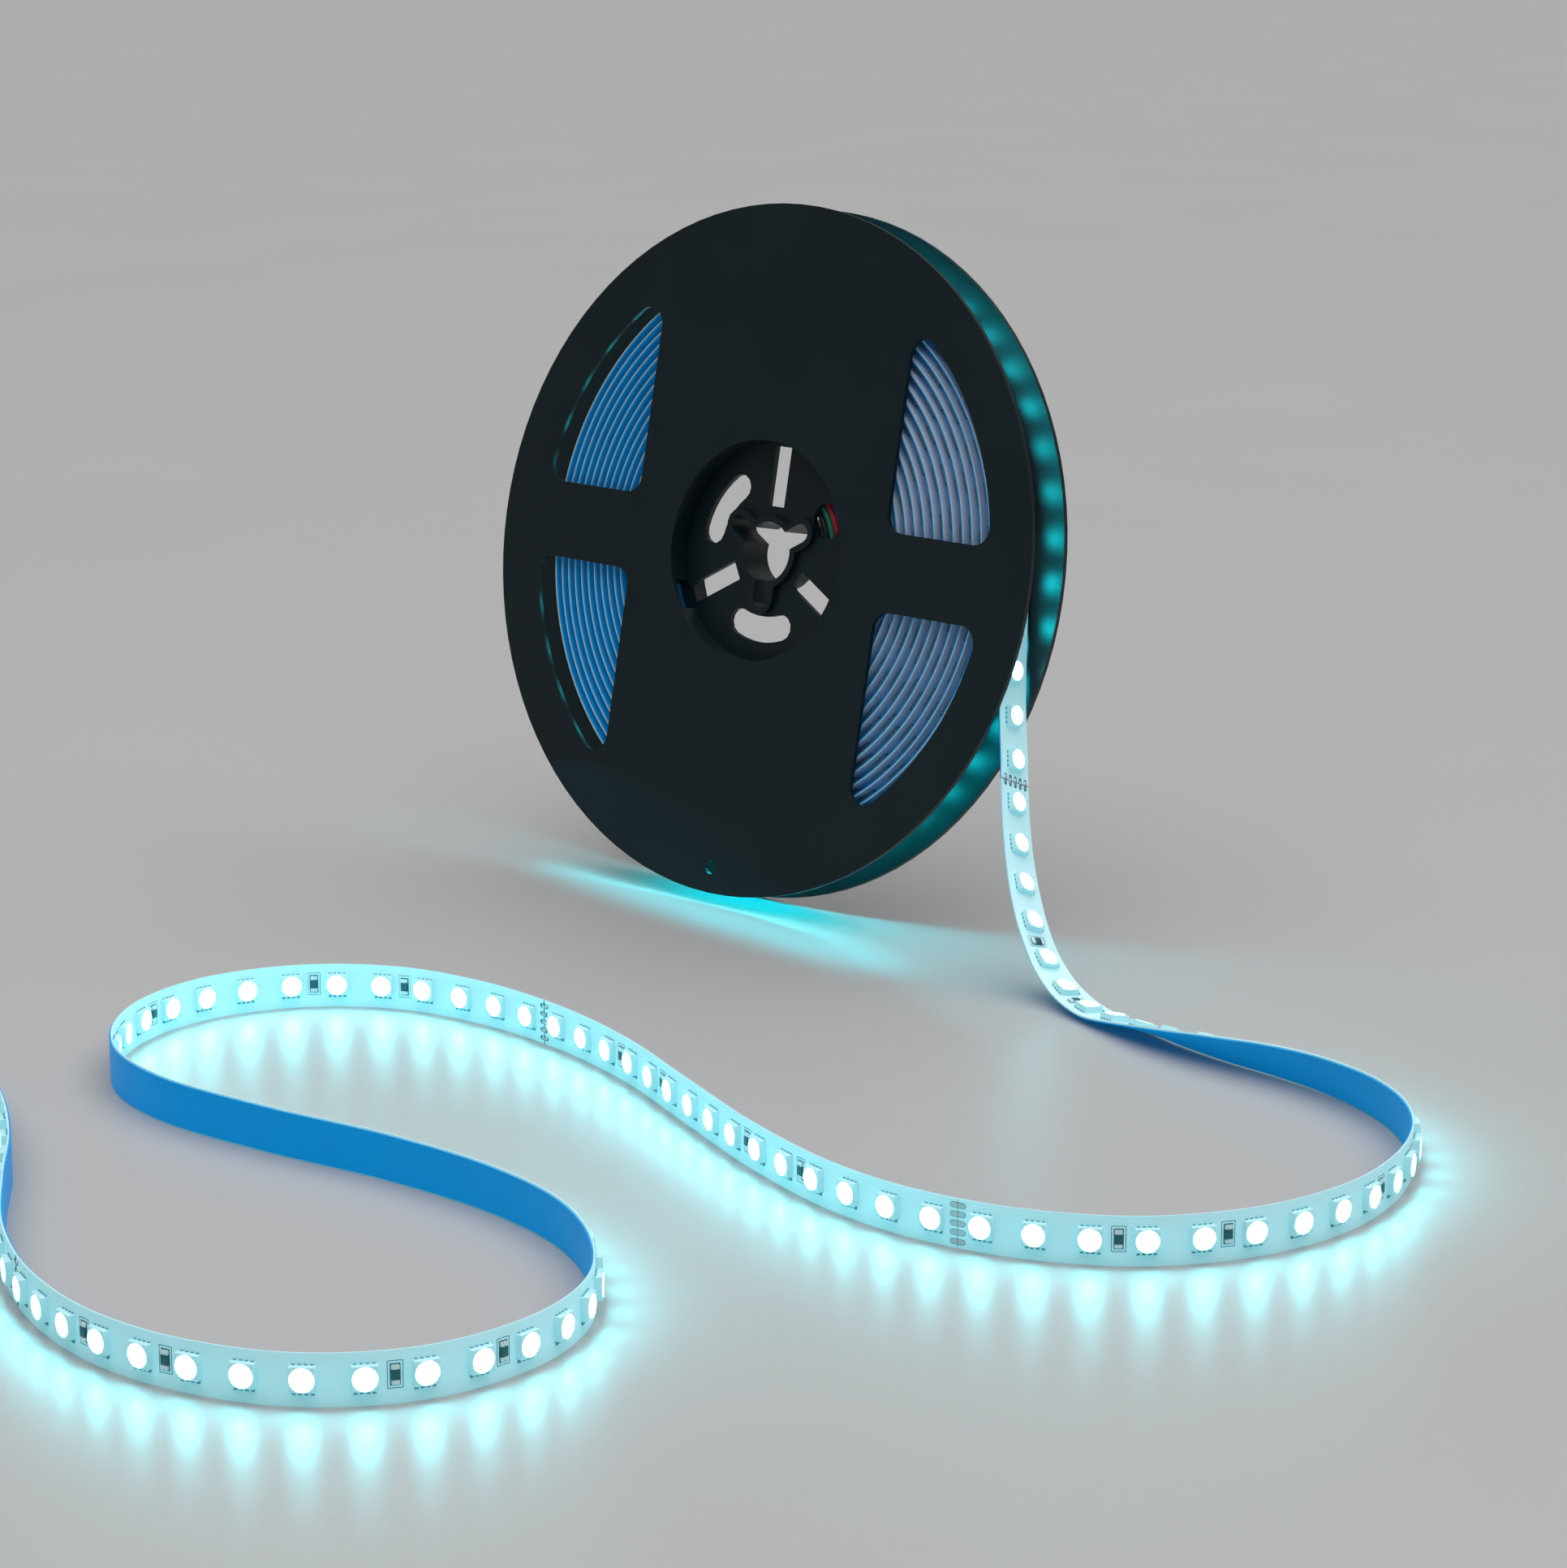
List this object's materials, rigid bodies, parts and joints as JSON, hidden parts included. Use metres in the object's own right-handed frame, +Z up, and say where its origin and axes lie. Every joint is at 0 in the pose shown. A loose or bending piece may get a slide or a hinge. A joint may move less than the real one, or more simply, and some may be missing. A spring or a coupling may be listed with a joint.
{
  "type": "led strip light reel",
  "caption": "Black two-part plastic reel of flexible colour-changing LED strip, leaning on its rim, with a lit length pulled off and snaking over the floor on its edge.",
  "frame": {"origin": "middle of the footprint's bounding box, on the floor", "axes": "+Z up, +X to the reel's right seen from its open front, -Y out of that front towards the loose strip, +Y the way the reel leans"},
  "size_m": [0.356, 0.3678, 0.1771],
  "materials": {
    "reel_plastic": "moulded, lightly polished",
    "strip_board": "white coated flexible circuit",
    "liner_paper": "silicone coated blue film",
    "black_lead": "extruded insulation",
    "green_lead": "extruded insulation",
    "red_lead": "extruded insulation",
    "blue_lead": "extruded insulation",
    "white_lead": "extruded insulation"
  },
  "bodies": {
    "root": {"rear_reel_half": "reel_plastic", "front_reel_half": "reel_plastic", "lead_black": "black_lead", "lead_green": "green_lead", "lead_red": "red_lead", "lead_blue": "blue_lead", "lead_white": "white_lead", "wound_strip": "strip_board", "strip_board_1": "strip_board", "strip_board_2": "strip_board", "strip_board_3": "strip_board", "release_liner": "liner_paper"}
  },
  "joints": []
}
